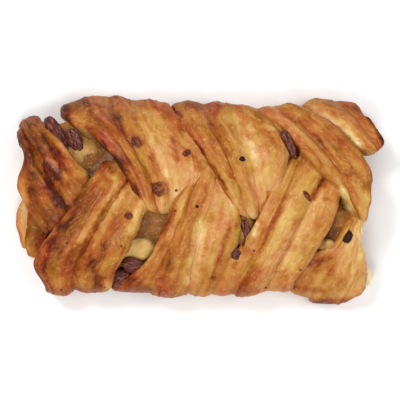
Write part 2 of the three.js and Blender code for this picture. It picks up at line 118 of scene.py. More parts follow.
# The folds, in the order of laying. Lines run from a fold's root to its tip, as x and y, and a ridge rises
# between each two. lift raises each line over the folds before it, sink is how deep the tip dives under the
# folds after it, and drop how far the root hangs. end_rounding is the part of its length in which the end
# closes. levels are how high the dough stands at each line, as parts of a ridge's rise. crest moves each
# ridge's top to one side. bake holds, for each ridge, how brown it is at the root, in the middle and at the
# tip, from 0 for pale dough to 1 for scorched, and what its left and right side add. marks are streaks that
# are browner or paler: both ends, the width, and what they add.
# Some marks are painted shade in creases and hollows, and some are painted light on shaded edges.
FOLDS = {
    "upper1": {
        "lift": [-0.5, 0, -1], "sink": 3, "drop": 5,
        "levels": [0.3, 0.4, 0.2], "rise": [3.2, 3.6], "crest": [0.1, -0.3],
        "bake": [(0.9, 0.84, 0.84, 0, 0), (0.95, 0.86, 0.72, 0.06, -0.1)],
        "marks": [
            (-53, 26, -47, 18.5, 2.4, -0.22), (-47, 18.5, -38.5, 9, 3, -0.34), (-61, 22, -58, 15, 5, 0.08),
            (-57, 14, -51, 6, 2.6, 0.25), (-51, 6, -45.5, -2, 2.8, 0.35),
            (-55.5, 10.5, -51.5, 5, 0.9, -0.3), (-43, 7, -41.5, 2, 4.5, -0.12),
            # The last mark on the next line is painted shade in the band between the ridges.
            (-60.5, 6, -58.5, 0, 3, -0.3), (-51, 14, -48.5, 12.5, 2, -0.2), (-51, 12, -45, 5, 3, 0.18),
            (-59, 26, -56, 20, 5, -0.15), (-42, 13, -38, 8, 2.4, 0.18), (-53, 23, -46, 15, 3, 0.14),
            (-58, 13, -56, 8, 3, 0.12),
        ],
        "lines": [
            [(-57.4, 20.3), (-58.4, 14), (-60.9, 4.5), (-57.4, -4), (-50.5, -13.5)],
            [(-59.2, 23.9), (-56, 16.4), (-51, 7.8), (-47, 1.5), (-43.5, -5)],
            [(-54, 27.2), (-49.3, 22.5), (-44.3, 16.5), (-39, 10.5), (-34.5, 3.5)],
        ],
    },
    "lower1": {
        "lift": [1.8, 1, 0.2], "sink": 4,
        "levels": [0.4, 0.2, 0.2], "rise": [4, 3.4], "crest": [0.3, 0.4],
        "bake": [(0.72, 0.76, 0.68, 0.04, 0), (0.68, 0.66, 0.44, 0.06, -0.06)],
        "marks": [
            (-37.5, 4.5, -38.5, -1, 5, 0.12), (-46.5, -3, -45, -6, 3, -0.15),
            (-33, -2, -42, -15, 4, -0.15), (-27.5, 6, -40, -13.5, 2.4, -0.36),
            (-38, -15, -42, -23, 3, -0.12), (-48, -28, -38, -27, 6, -0.15),
            (-25.8, 2.5, -36, -16, 2, -0.3), (-37, -20, -34, -28, 5, 0.26), (-24.5, 1, -24, -3, 4, 0.12),
            (-20, -2, -22.5, -11, 3, -0.35), (-24, -12, -27, -20, 3, -0.16), (-31, 9, -27, 6, 2.4, -0.3),
            # The second mark on the next line is painted light that lifts the shade of a crease.
            (-34, 8, -31, 3, 4, -0.12), (-28.5, -1, -33, -8, 3, -0.4), (-31, -29, -28, -29.5, 3, -0.3),
            # The second mark on the next line is painted shade along the groove between the ridges.
            (-52, -22, -50, -16, 3, 0.1), (-38, -13, -42.5, -23.5, 1, 0.12),
            (-35.5, -12, -38.5, -20, 2, -0.22), (-36.5, 4, -48, -14, 3.4, 0.14),
            (-24.5, -1, -33, -18, 2.6, 0.1), (-32, 13, -30, 9, 3, 0.12), (-31, 2, -31, 0, 3, 0.1),
            (-26, 3, -25, -1, 3, 0.1), (-53, -28, -50, -30, 3, 0.12), (-47, -13, -44, -16, 3, -0.14),
        ],
        "lines": [
            [(-52.5, -28.3), (-56, -20), (-51, -12), (-44.6, -4.2), (-38, 4.5), (-31.5, 15)],
            [(-43, -28.3), (-42, -22.5), (-36.5, -12.5), (-30.5, -3), (-25.5, 4), (-21.5, 10.5)],
            [(-30, -27.3), (-27, -22), (-23, -15.5), (-19.5, -7.5), (-17.5, -2.5), (-14.5, 2.5)],
        ],
    },
    "upper2": {
        "lift": [2.6, 1.6, 0.8, 0], "sink": 5,
        "levels": [0.4, 0.5, 0.7, 0.2], "rise": [3.6, 2.8, 3], "crest": [0, 0, 0.1],
        "bake": [(0.7, 0.68, 0.66, 0.1, 0), (0.7, 0.64, 0.5, 0.08, -0.05), (0.6, 0.42, 0.36, 0, 0)],
        "marks": [
            (-46.5, 28.5, -44, 26.5, 3, 0.2), (-43, 27.5, -40.5, 25, 2.6, -0.28),
            # The second mark on the next line is painted light that lifts the shade on the overhanging left
            # edge.
            (-45, 31, -39, 33, 3.2, 0.22), (-40, 24.5, -35, 18, 2.6, -0.4),
            (-33, 18, -28.5, 13, 2.6, 0.24), (-28, 13.5, -20.5, 2, 2.6, 0.26),
            (-28, 29, -27, 22, 2.5, 0.05), (-14, -1, -11, -4, 5, -0.2), (-19, 29, -18, 26, 3, -0.12),
            (-16, 21, -10, 9, 4.4, -0.18), (-8.5, 9, -7, 2, 4.5, -0.12), (-9.5, 21, -7.5, 14, 2.4, 0.25),
            # The last two marks on the next line are painted shade: round a crumb, and in the hollow at the
            # fold's right end.
            (-12, 31, -6, 25, 4, 0.2), (-4.4, 15.8, -4, 15, 4.6, 0.15), (-3.5, 15.5, 1, 10, 3.6, 0.3),
            (-15, 20, -15.5, 14, 2.4, 0.16), (-22, 33, -15, 31.5, 3, 0.12), (-18, -1, -16, -5, 3, -0.35),
            # The first mark on the next line is painted light that lifts the shade on the overhanging left
            # edge.
            (-37, 23, -34.5, 19, 2.4, -0.2), (-22, 28, -20, 24, 3, 0.12), (-37, 29, -34, 25, 3, 0.12),
            (-18, -1, -12, -4, 4, -0.2), (-28, 19, -24, 13, 3, 0.12),
        ],
        "lines": [
            [(-47, 28.8), (-44.5, 25), (-37, 22.5), (-31, 16), (-24, 6.5), (-18, -5)],
            [(-31.5, 33), (-28.5, 27), (-25.5, 21), (-21, 14), (-17, 6.5), (-14.5, -6)],
            [(-24.5, 31.8), (-21.5, 27), (-18.5, 20.5), (-15, 13.5), (-11, 5.5), (-10, -6)],
            [(-9, 29.5), (-2.5, 25), (1.5, 19.5), (3.5, 14), (1.5, 7.5), (-5, -2.5)],
        ],
    },
    "lower2": {
        "lift": [0.6, 1.4, 0.8, 0.2], "sink": 4,
        "levels": [0.3, 0.6, 0.65, 0.2], "rise": [2.4, 3.6, 3], "crest": [0, -0.1, 0],
        "bake": [(0.72, 0.6, 0.5, 0, 0), (0.66, 0.5, 0.5, 0.05, -0.15), (0.46, 0.42, 0.34, 0, 0.05)],
        "marks": [
            (-21, -22, -15, -30, 4.4, -0.12), (-1, -2, -6, -12, 2.6, 0.14),
            (-6, -12, -11.5, -23, 2.8, 0.18), (-4.5, 2, -12, -18, 2, -0.1), (1, -9, -2.5, -27, 4.4, -0.25),
            (10, -10, 4.4, -26, 2, 0.28), (8, 4, 11, -5, 4, -0.15), (12, -5, 10, -13, 4, 0.08),
            (3, 9, 6, -2, 3, -0.1), (-25, -28.5, -19.5, -24, 3, 0.12), (5, -10, 3, -20, 3, -0.15),
            (-27, -29, -12, -30.5, 3, 0.1), (-18, -21, -13.5, -13, 2.4, -0.16), (3, 9, 6, 2, 4, -0.08),
            # The next mark is painted shade along the fold's left edge.
            (-14, -13, -9.5, -5, 2.4, 0.18),
        ],
        "lines": [
            [(-29.5, -28.8), (-22, -24), (-14.8, -15.5), (-11.4, -7.5), (-7.6, 0), (0.5, 12.5)],
            [(-15.5, -29.2), (-13.5, -23.5), (-10, -15), (-7, -7.5), (-3.5, 0.5), (3, 14.5)],
            [(-4, -29.3), (-3, -23.5), (-1, -15), (1.5, -6.5), (4, 1), (7, 14.5)],
            [(5.2, -29.6), (9.5, -22), (13, -14.5), (14, -8.5), (13.5, -1), (11, 9)],
        ],
    },
    "upper3": {
        "lift": [2.8, 2, 1, 0.2], "sink": 5,
        "levels": [0.4, 0.5, 0.7, 0.2], "rise": [3, 3.2, 3], "crest": [0, 0, 0.1],
        "bake": [(0.66, 0.58, 0.5, 0.05, 0), (0.6, 0.5, 0.4, 0.1, -0.1), (0.54, 0.42, 0.36, -0.05, 0.05)],
        "marks": [
            (-3, 22, 9, 4, 1.4, 0.3), (2, 29, 10, 15, 1.8, 0.25), (17.5, 19, 19, 12, 3, -0.25),
            (20, 4, 20, -4, 4, 0.1), (16, 24, 13, 6, 3, -0.12), (21.5, 23, 24, 20, 3, 0.2),
            (21.5, 25, 25.5, 24, 1.6, -0.25), (23, 2.5, 23.5, -2, 2.2, 0.3), (26, 14, 25, 6, 4, -0.08),
            (-4, 32, 2, 31.5, 3, 0.2), (7, 32.4, 17, 31, 2.6, 0.16), (13, 3, 16, -2, 3, -0.12),
            (12, 17, 17, 9, 4, 0.16), (13, -2, 18, -6, 4, -0.2), (20, 29, 20, 26, 3, 0.14),
        ],
        "lines": [
            [(-9, 30.4), (-5, 23.5), (0, 17), (4, 10.5), (8, 4), (14, -6.5)],
            [(2.5, 30.6), (4.5, 24.5), (8, 17), (11, 10), (14, 3), (17, -7.5)],
            [(9, 30), (12, 24.5), (14.5, 17), (17.5, 9.5), (18.5, 2), (19.5, -7)],
            [(21, 28.5), (25.5, 25), (29, 21), (30.5, 15), (28, 7.5), (22, -4)],
        ],
    },
    "lower3": {
        "lift": [0.4, 1.4, 1, 0.4], "sink": 4,
        "levels": [0.4, 0.6, 0.15, 0.3], "rise": [2.8, 3.8, 3.4], "crest": [0, -0.3, 0.45],
        "bake": [(0.46, 0.46, 0.44, 0, 0), (0.54, 0.42, 0.44, 0.08, -0.05), (0.46, 0.4, 0.44, -0.05, 0.05)],
        "marks": [
            (27, -3, 15.5, -28, 2.6, 0.17), (28, 2, 31.5, 7, 3.6, 0.08), (30, -3, 22, -21, 4.4, -0.2),
            (40.3, 3, 35.5, -6, 2.6, -0.2), (42.5, 8.5, 38.5, 1, 2.2, 0.5), (42.5, 0, 41, -11, 3, 0.04),
            (36, -6, 28, -22, 2.2, -0.26), (35, -20, 31, -27, 4, -0.1), (18.8, -8, 18, -11, 2, -0.4),
            (12.4, -21, 11.6, -23, 1.8, 0.3), (33, -10, 29, -18, 3, -0.15), (8, -30.5, 17, -30.5, 3, 0.1),
            (46, -3, 42, -12, 2, -0.1), (31, -12, 24, -26, 3, -0.18), (36, -17, 33, -21, 3, 0.16),
            (14, -14, 15.5, -17, 3, 0.2), (34, -8, 26.5, -24, 0.7, 0.14), (42, 0.4, 43.6, 0.4, 1.6, 0.25),
            # The first mark on the next line is painted shade at the tips, under the edge of the fold
            # above.
            (31, 13, 38, 12, 4, 0.16), (21, -2, 22, -6, 3, -0.12),
        ],
        "lines": [
            [(4, -29.6), (8.5, -22.5), (13, -15.5), (17.8, -9), (23, 0), (33, 17)],
            [(12, -29.2), (16, -23), (19.8, -16), (23.5, -8.5), (27.8, 0.5), (35.5, 17)],
            [(22.5, -28.3), (25.5, -22.5), (30, -14.5), (35, -5), (38.8, 2.5), (45, 14)],
            [(32, -27.3), (35.5, -22), (40.3, -15.5), (44, -8.5), (46.5, -2), (48.5, 8)],
        ],
    },
    "upper4Tab": {
        "lift": [1.6, 0.8, 0], "sink": 0, "end_rounding": 0.16,
        "levels": [0.2, 0.6, 0.2], "rise": [3.6, 3], "crest": [0, 0],
        "bake": [(0.6, 0.5, 0.55, 0, 0.05), (0.66, 0.6, 0.66, -0.05, 0.1)],
        "marks": [
            # The first mark on the next line is painted light that lifts the shade of the crease against
            # upper4.
            (40, 29, 52, 19.5, 5, -0.42), (44, 34.5, 57, 29, 1.5, 0.1), (57, 29.5, 62.5, 19, 2, 0.35),
            (61.5, 18, 60, 17, 2, 0.15),
        ],
        "lines": [
            [(34.5, 29.3), (44, 25.5), (50.5, 20), (56.5, 14.6)],
            [(45.5, 31.5), (51.5, 27), (56, 21), (60.3, 15.3)],
            [(54.8, 29.6), (57.8, 26), (60.8, 21.5), (62.6, 17.8)],
        ],
    },
    "lower4": {
        "lift": [-0.6, -1.5, -1.5, -1.5], "sink": 0,
        "levels": [0.2, 0.9, 0.9, 0.2], "rise": [1.6, 2.4, 2.8], "crest": [0, 0, 0],
        "bake": [(0.52, 0.44, 0.2, 0, 0), (0.5, 0.42, 0.2, 0, -0.05), (0.42, 0.3, 0.14, 0, -0.16)],
        "marks": [
            # The second mark on the next line is painted shade on the fold's left side.
            (32.5, -29.5, 42, -31, 1.8, 0.2), (37.5, -21, 44, -19.5, 3.6, 0.34),
            (49, -9, 45.5, -16, 2.6, 0.3), (40, -35, 52, -34.5, 3, 0.34), (52, -34.5, 57.5, -29, 1.4, 0.2),
            (38, -24, 43, -22, 3, 0.12), (45, -18, 48, -12, 3, 0.2), (48.5, -10, 50.5, -6, 3, 0.4),
        ],
        "lines": [
            [(30.8, -28.8), (34.2, -22.6), (39.2, -18), (45, -14.5), (50.8, -5.2)],
            [(38.5, -32.6), (42.5, -26), (46, -20), (48.3, -14), (52.2, -4.8)],
            [(47, -33.4), (50.5, -26.5), (51.5, -20), (52.5, -13.5), (53.6, -4.8)],
            [(56, -28), (57, -23), (56, -18.5), (54.7, -12.5), (55, -5.2)],
        ],
    },
    "upper4": {
        "lift": [3, 2.2, 1.6], "sink": 2.5,
        "levels": [0.4, 0.5, 0.3], "rise": [3, 3.6], "crest": [0, 0.1],
        "bake": [(0.54, 0.54, 0.5, 0.04, 0), (0.6, 0.6, 0.52, 0.05, 0.05)],
        "marks": [
            # The second mark on the next line is painted shade in the crease along the fold's left edge.
            (34, 26.5, 46, 17, 3, 0.1), (31, 17, 39, 7, 3.6, 0.4), (47.5, 3, 51, -5, 2.8, -0.4),
            (58, 9, 58.4, 1, 1.4, 0.2), (52, 9, 57, 5, 4, 0.16), (55.5, 1, 55.5, -7, 3, -0.28),
            (45, 12, 52, 9, 5, 0.14), (27, 27, 32, 24, 4, -0.16), (35, 22, 44, 13, 3, -0.1),
        ],
        "lines": [
            [(19, 28.6), (26, 25.2), (33, 17.3), (40, 9.5), (46.2, 3.5), (51, -5)],
            [(25.5, 28.9), (31, 25.5), (38.5, 18.5), (45.5, 10.5), (49.5, 3), (53, -6.5)],
            [(34.5, 28.8), (43.5, 26), (51.5, 19), (57, 10.5), (57.6, 2.5), (55.4, -8.5)],
        ],
    },
}

# Low lobes of the sheet that curl up at its ends, in the same form. lift is their height above the table.
LOBES = {
    "endLip": {
        "lift": [6, 6], "rise": [2.4], "bake": [(0, 0.26, 0.5, 0.25, 0)],
        "lines": [
            [(-59.5, 1), (-62, -4.5), (-62, -11.5), (-60, -17)],
            [(-57, 1), (-57.5, -4.5), (-57.5, -11.5), (-55.5, -16)],
        ],
    },
    "endCurl": {
        "lift": [7.5, 8], "rise": [1.6], "bake": [(0.84, 0.82, 0.6, 0, 0)],
        "lines": [
            [(-58.5, -3), (-59, -9), (-59.5, -14.5), (-58, -19.5)],
            [(-51, -3), (-51, -9), (-51.5, -15), (-53, -20)],
        ],
    },
    "endFlake": {
        "lift": [7, 5.5], "rise": [1], "bake": [(0, -0.1, 0, 0, 0)],
        "lines": [
            [(55, -22), (56.5, -25.5), (56, -29)],
            [(57.2, -23), (59.4, -26), (58.6, -29.5)],
        ],
    },
}
LOBE_SECTION = {"levels": [0, 0], "crest": [0], "marks": []}

# Where along a ridge its three browning values hold.
BAKE_PLACES = (0, 0.4, 0.8)

# Pecan pieces in the gaps: the middle as x, y and height, heading, length, width and height.
PECANS = [
    (-48.3, 22.6, 14, -57, 13, 5.4, 5),
    (-42.2, 20.2, 15.5, -58, 8.8, 5.4, 5),
    (-22.3, -22, 15.6, -12, 8.2, 5.6, 5.2),
    (-26.4, -26.4, 12.8, 40, 7.6, 6.6, 5),
    (30.2, 18.7, 20.6, -66, 10.4, 3.9, 4.2),
    (15.4, -10.2, 20.3, -76, 8.2, 3.9, 3.8),
    (12.9, -17.8, 20.4, 35, 4.8, 3.6, 3.4),
]
# Crumbs of nut and sugar that stick to the crust: x and y, length and width, heading, how far they stand
# up, and how deep their middle is dented.
CRUMBS = [
    (-21.4, 19.6, 4.6, 3.6, -60, 1, 0.5),
    (-13.6, 3.6, 5.8, 5, 0, 1, 0.7),
    (-4.4, 15.8, 2.8, 2.2, 40, 0.7, 0.3),
    (-23.8, -5.3, 2.8, 2.6, 0, 0.8, 0.4),
    (-7.2, 29.2, 5.4, 2, -42, 0.9, 0.2),
    (36, 1.5, 4, 1.8, -50, 0.5, 0),
    (15, -14.6, 2.8, 1.2, 60, 0.5, 0),
]
# Where a dent lies on a crumb and how wide it is, as parts of half the crumb.
DENT_PLACE = (0.25, 0.15)
DENT_WIDTH = 0.5
# Dark specks: x and y, width, and how black they are.
SPECKS = [
    (14.4, 13.7, 2.1, 1), (-0.9, -2.2, 1.2, 1), (50, -12.6, 4.5, 0.85), (-26.2, -15.5, 0.9, 0),
    (-44.5, -14.4, 1, 0), (-7.8, 3.2, 1.1, 0), (-8.2, -3.6, 0.9, 0.2), (34, -23.6, 1, 0),
    (22.4, -29.7, 1, 0), (-46.6, -30.4, 1.2, 0), (18.3, -17, 0.8, 0), (-32, -29.5, 0.8, 0),
]
PECAN_GROOVES = 5
PECAN_GROOVE_DEPTH = 0.1
PECAN_TAPER = 0.22


# Small helpers


def smooth(low, high, value):
    """0 below low, 1 above high, and an S curve between them."""
    part = np.clip((value - low) / (high - low), 0, 1)
    return part * part * (3 - 2 * part)


def mix(a, b, part):
    return a + (b - a) * part


def unit(vectors):
    return vectors / np.linalg.norm(vectors, axis=-1, keepdims=True)


def noise(points, size, seed):
    """Smooth random values from -1 to 1 at points, with lumps as large as size."""
    cells = 32
    table = np.random.default_rng(seed).uniform(-1, 1, (cells, cells, cells))
    place = np.asarray(points) / size
    low = np.floor(place).astype(int)
    part = smooth(0, 1, place - low)
    total = 0
    for corner in np.ndindex(2, 2, 2):
        weight = np.prod(np.where(corner, part, 1 - part), axis=-1)
        x, y, z = np.moveaxis((low + corner) % cells, -1, 0)
        total = total + weight * table[x, y, z]
    return total


def ridged(points, size, seed):
    """Like noise, but with sharp crests and wide valleys."""
    return 1 - 2 * np.sqrt(np.abs(noise(points, size, seed)))


def layered(kind, points, layers):
    """The sum of several layers of noise or of ridged noise."""
    return sum(height * kind(points, size, seed) for height, size, seed in layers)


def grid_of(*coordinates):
    """Points from coordinates that share rows and columns, or have only one of them."""
    return np.stack(np.broadcast_arrays(*coordinates), axis=-1)


def turned(x, y, degrees):
    """x and y turned about the origin."""
    turn = math.radians(degrees)
    return x * math.cos(turn) - y * math.sin(turn), x * math.sin(turn) + y * math.cos(turn)


def spot(points, x, y, length, width, heading):
    """A round mound over an ellipse seen from above: 1 in its middle and 0 outside it."""
    along, across = turned(points[..., 0] - x, points[..., 1] - y, -heading)
    return np.sqrt(np.maximum(0, 1 - (2 * along / length) ** 2 - (2 * across / width) ** 2))


def bulged(value, power):
    """A sine or cosine for an outline that is an ellipse at power 2, and squarer above it."""
    return np.sign(value) * np.abs(value) ** (2 / power)


def streak(points, x, y, end_x, end_y, width):
    """A soft streak seen from above: 1 along the line between two places and 0 beyond its width."""
    start = np.array([x, y])
    way = np.array([end_x, end_y]) - start
    away = points[..., :2] - start
    along = np.clip(away @ way / way.dot(way), 0, 1)
    distance = np.linalg.norm(away - along[..., None] * way, axis=-1)
    return 1 - smooth(0, 1.7, distance / (width / 2) + layered(noise, points, STREAK_WANDER))


def linear(*colour):
    """A colour as seen on a screen, 0 to 255, in the shader's linear values."""
    return tuple((value / 255) ** 2.2 for value in colour) + (1,)


# Meshes


def new_object(name, data):
    piece = bpy.data.objects.new(name, data)
    bpy.context.collection.objects.link(piece)
    return piece


def signed_volume(points, faces):
    """Six times the volume inside quads, negative where they face inwards."""
    a, b, c, d = (points[faces[:, i]] for i in range(4))
    return np.sum(a * np.cross(b, c)) + np.sum(a * np.cross(c, d))


def tube_object(name, rings, values):
    """A closed mesh through rings of points, capped at both ends, with values for each point."""
    rows, columns = rings.shape[:2]
    index = np.arange(rows * columns).reshape(rows, columns)
    beside = np.roll(index, -1, axis=1)
    faces = np.stack([index[:-1], index[1:], beside[1:], beside[:-1]], axis=-1).reshape(-1, 4)
    points = rings.reshape(-1, 3)
    caps = [index[0].tolist(), index[-1][::-1].tolist()]
    if signed_volume(points, faces) < 0:
        faces = faces[:, ::-1]
        caps = [cap[::-1] for cap in caps]
    mesh = bpy.data.meshes.new(name)
    mesh.from_pydata((points * MM).tolist(), [], faces.tolist() + caps)
    for key, value in {"made": np.ones(len(points)), **values}.items():
        store(mesh, key, value)
    return new_object(name, mesh)


def block_below(size):
    """A block whose top is the table, used to cut."""
    x = np.array([-1, 1, 1, -1]) * size / 2
    y = np.array([-1, -1, 1, 1]) * size / 2
    return tube_object("below", grid_of(x, y, np.array([[-size], [0]])), {})


def store(mesh, key, value):
    """Writes a number or a vector for each point of the mesh."""
    value = np.asarray(value, dtype=np.float32)
    is_vector = value.size == 3 * len(mesh.vertices)
    kind, field = ("FLOAT_VECTOR", "vector") if is_vector else ("FLOAT", "value")
    attribute = mesh.attributes.get(key) or mesh.attributes.new(key, kind, "POINT")
    attribute.data.foreach_set(field, value.ravel())


def fetch(items, field, width=1, kind=np.float32):
    """A value of each item of a mesh, or a row of values."""
    value = np.empty(len(items) * width, dtype=kind)
    items.foreach_get(field, value)
    return value.reshape(-1, width) if width > 1 else value


def read(mesh, key, width=1):
    """The numbers or vectors that store wrote."""
    return fetch(mesh.attributes[key].data, "vector" if width == 3 else "value", width)


def positions(mesh):
    """The points of a mesh in millimetres."""
    return fetch(mesh.vertices, "co", 3) / MM


def edge_ends(mesh):
    return fetch(mesh.edges, "vertices", 2, np.int32)


def combine(piece, others, operation):
    """Joins other pieces to this one, or cuts them out of it, and removes them."""
    group = bpy.data.collections.new("operands")
    for other in others:
        bpy.context.collection.objects.unlink(other)
        group.objects.link(other)
    bpy.context.scene.collection.children.link(group)
    change = piece.modifiers.new(operation, "BOOLEAN")
    change.operation = operation
    change.solver = "MANIFOLD"
    change.operand_type = "COLLECTION"
    change.collection = group
    scene = bpy.context.evaluated_depsgraph_get()
    result = bpy.data.meshes.new_from_object(piece.evaluated_get(scene))
    piece.modifiers.clear()
    piece.data = result
    for other in others:
        bpy.data.objects.remove(other)
    bpy.data.collections.remove(group)


def keep_largest(piece):
    """Deletes every loose scrap of a piece but its largest part."""
    shape = bmesh.new()
    shape.from_mesh(piece.data)
    left = set(shape.verts)
    parts = []
    while left:
        front = [left.pop()]
        part = set(front)
        while front:
            vert = front.pop()
            near = {edge.other_vert(vert) for edge in vert.link_edges} & left
            left -= near
            part |= near
            front.extend(near)
        parts.append(part)
    scraps = [vert for part in sorted(parts, key=len)[:-1] for vert in part]
    bmesh.ops.delete(shape, geom=scraps, context="VERTS")
    shape.to_mesh(piece.data)
    shape.free()


def heal(mesh, keys):
    """Gives the points that a cut made the mean of the values beside them. made is 0 on such points."""
    made = read(mesh, "made") > 0.5
    edges = np.concatenate([edge_ends(mesh), edge_ends(mesh)[:, ::-1]])
    values = {key: read(mesh, key, width) for key, width in keys.items()}
    while not made.all():
        useful = edges[made[edges[:, 1]] & ~made[edges[:, 0]]]
        if len(useful) == 0:
            break
        count = np.bincount(useful[:, 0], minlength=len(made))
        found = count > 0
        for key, value in values.items():
            total = np.zeros_like(value)
            np.add.at(total, useful[:, 0], value[useful[:, 1]])
            value[found] = (total[found].T / count[found]).T
        made |= found
    for key, value in values.items():
        store(mesh, key, value)


def fill_creases(mesh):
    """Rounds out every inward crease a little, as dough that bakes together does."""
    count = len(mesh.vertices)
    a, b = edge_ends(mesh).T
    near = np.bincount(a, minlength=count) + np.bincount(b, minlength=count)
    points = positions(mesh).astype(float)
    for _ in range(CREASE_ROUNDS):
        normals = fetch(mesh.vertex_normals, "vector", 3)
        total = [np.bincount(a, p[b], count) + np.bincount(b, p[a], count) for p in points.T]
        change = np.stack(total, axis=1) / near[:, None] - points
        inward = np.sum(change * normals, axis=1) > 0
        points += CREASE_STEP * change * inward[:, None]
        mesh.vertices.foreach_set("co", (points * MM).ravel())
        mesh.update()


# The form of the folds


def dome_height(x, y):
    """The height of the dome on which the folds' middles lie."""
    across = 1 - np.minimum(1, np.abs(y / HALF_WIDTH) ** SIDE_POWER)
    along = 1 - np.minimum(1, np.abs(x / HALF_LENGTH) ** END_POWER)
    return mix(ROOT_HEIGHT, CREST_HEIGHT, across ** (1 / SIDE_POWER) * along ** (1 / END_POWER))


def foot_below(x, y):
    """The foot below a root, on the table and a little inwards."""
    place = np.array([x, y])
    half = np.array([HALF_LENGTH, HALF_WIDTH])
    outward = np.sign(place) * np.abs(place / half) ** (OUTLINE_POWER - 1) / half
    return np.append(place - FOOT_INSET * unit(outward), FOOT_HEIGHT)


def fold_stations(line, lift, fold):
    """The stations of one line of a fold in space, from its foot to its tip."""
    x, y = np.array(line, dtype=float).T
    part = np.linspace(0, 1, len(line))
    raised = mix(-fold.get("drop", 0), lift, smooth(0, LIFT_OVER, part))
    sunk = fold["sink"] * smooth(SINK_FROM, 1, part)
    stations = np.stack([x, y, dome_height(x, y) + raised - sunk], axis=1)
    return np.vstack([foot_below(*line[0]), stations])


def lobe_stations(line, lift, lobe):
    """The stations of one line of a lobe, all at one height."""
    x, y = np.array(line, dtype=float).T
    return np.stack([x, y, np.full(len(line), lift)], axis=1)


def spline(stations, t):
    """Places on a smooth curve through the stations, and its direction there."""
    before = 2 * stations[0] - stations[1]
    after = 2 * stations[-1] - stations[-2]
    knots = np.vstack([before, stations, after])
    place = t * (len(stations) - 1)
    first = np.minimum(place.astype(int), len(stations) - 2)
    p = (place - first)[:, None]
    start, end = knots[first + 1], knots[first + 2]
    leave = (end - knots[first]) / 2
    arrive = (knots[first + 3] - start) / 2
    at = (2 * p**3 - 3 * p**2 + 1) * start + (p**3 - 2 * p**2 + p) * leave
    at = at + (3 * p**2 - 2 * p**3) * end + (p**3 - p**2) * arrive
    way = (6 * p**2 - 6 * p) * (start - end)
    way = way + (3 * p**2 - 4 * p + 1) * leave + (3 * p**2 - 2 * p) * arrive
    return at, way


def top_columns(widths):
    """Which ridge each column over the top lies on, and where on it, from -1 at its left to 1."""
    counts = [max(LEAST_COLUMNS, round(1.3 * width / STEP)) for width in widths]
    u = [np.sin(np.linspace(-1, 1, count + 1)[:-1] * np.pi / 2) for count in counts]
    ridge = np.repeat(np.arange(len(widths)), counts)
    return np.append(ridge, len(widths) - 1), np.append(np.concatenate(u), 1)


def arch(u, crest, softness):
    """A ridge's section: 0 at its sides, 1 at its crest. The sides are steep at softness 0, flat at 1."""
    side = np.where(u < crest, (u - crest) / (1 + crest), (u - crest) / (1 - crest))
    return np.maximum(0, 1 - np.abs(side) ** ROUNDNESS) ** mix(1 / ROUNDNESS, SOFT_POWER, softness**2)


def flakes(s, w, width, seed):
    """Edges of thin layers that run along a strip: their relief, and 1 where a layer's rim stands up."""
    random = np.random.default_rng(seed)
    relief = 0
    rim = 0
    for _ in range(int(width / FLAKE_SPACING)):
        place = random.uniform(0.04, 0.96) * width
        start, length = random.uniform(2, 45), random.uniform(10, 34)
        height = random.uniform(0.1, FLAKE_HEIGHT)
        side = random.choice([-1, 1])
        bend, phase, wave = random.uniform(0.3, 1.1), random.uniform(0, 6), random.uniform(5, 11)
        x = side * (w - place - bend * np.sin(s / wave + phase))
        shown = smooth(start, start + 4, s) * (1 - smooth(start + length, start + length + 5, s))
        relief = relief + height * shown * smooth(0, 0.35, x) * np.exp(-np.maximum(x, 0) / 2.4)
        rim = rim + shown * np.exp(-(((x - 0.3) / 0.4) ** 2)) * height / FLAKE_HEIGHT
    return relief, rim


def fold_lines(number, fold, stations_of):
    """Points along a fold's lines: how far along, as a part and in millimetres, and for each line where
    they lie and which way is up."""
    lines = [stations_of(line, lift, fold) for line, lift in zip(fold["lines"], fold["lift"])]
    length = np.linalg.norm(np.diff(lines[0], axis=0), axis=1).sum()
    t = np.linspace(0, 1, round(length / STEP))
    places, ways = (np.stack(part, axis=1) for part in zip(*(spline(line, t) for line in lines)))
    order = np.arange(len(lines))
    across = places[:, np.minimum(order + 1, order[-1])] - places[:, np.maximum(order - 1, 0)]
    ups = unit(np.cross(ways, across))
    ups = ups * np.sign(ups[int(FACES_UP_AT * len(t)), 0, 2])
    s = t[:, None] * length
    wander = grid_of(s, FOLD_SPACING * number + order * LINE_SPACING, 0.0)
    shift = layered(noise, wander, LINE_WANDER)
    return t, s, places + unit(across) * shift[..., None], ups


def ridge_heights(fold, t, ridge, u):
    """How high the dough stands over its lines in each column of the top."""
    last = len(fold["rise"])
    part = (u + 1) / 2
    levels = np.array(fold["levels"])
    shallow = np.array([0, *[ROOT_GROOVE_FADE] * (last - 1), 0])
    fade = mix(shallow[ridge], shallow[ridge + 1], part) * (1 - smooth(*ROOT_GROOVE_SPAN, t))[:, None]
    level = mix(mix(levels[ridge], levels[ridge + 1], part), 1, fade)
    rise = np.array(fold["rise"])[ridge]
    crest = np.array(fold["crest"])[ridge]
    is_outer = ((ridge == 0) & (u < crest)) | ((ridge == last - 1) & (u > crest))
    return rise * (level + (1 - level) * arch(u, crest, np.where(is_outer, 0, level)))


def dough_skin(number, strip, width):
    """The fine relief of a strip, how much browner it makes the strip, and the strip with wrinkles."""
    layers, rim = flakes(strip[..., 0], strip[..., 1], width, 100 + number)
    warped = strip + layered(noise, strip, STRIP_WARP)[..., None] * (0, 1, 0)
    folds = layered(noise, strip, SKIN_FOLDS)
    pleats = layered(ridged, warped, SKIN_PLEATS)
    blisters = layered(noise, strip, SKIN_BLISTERS)
    browner = 0.12 * rim + 0.36 * pleats + 0.5 * blisters + 0.07 * noise(warped, (9, 1.3, 9), 31)
    return folds + pleats + blisters + layers, browner, warped


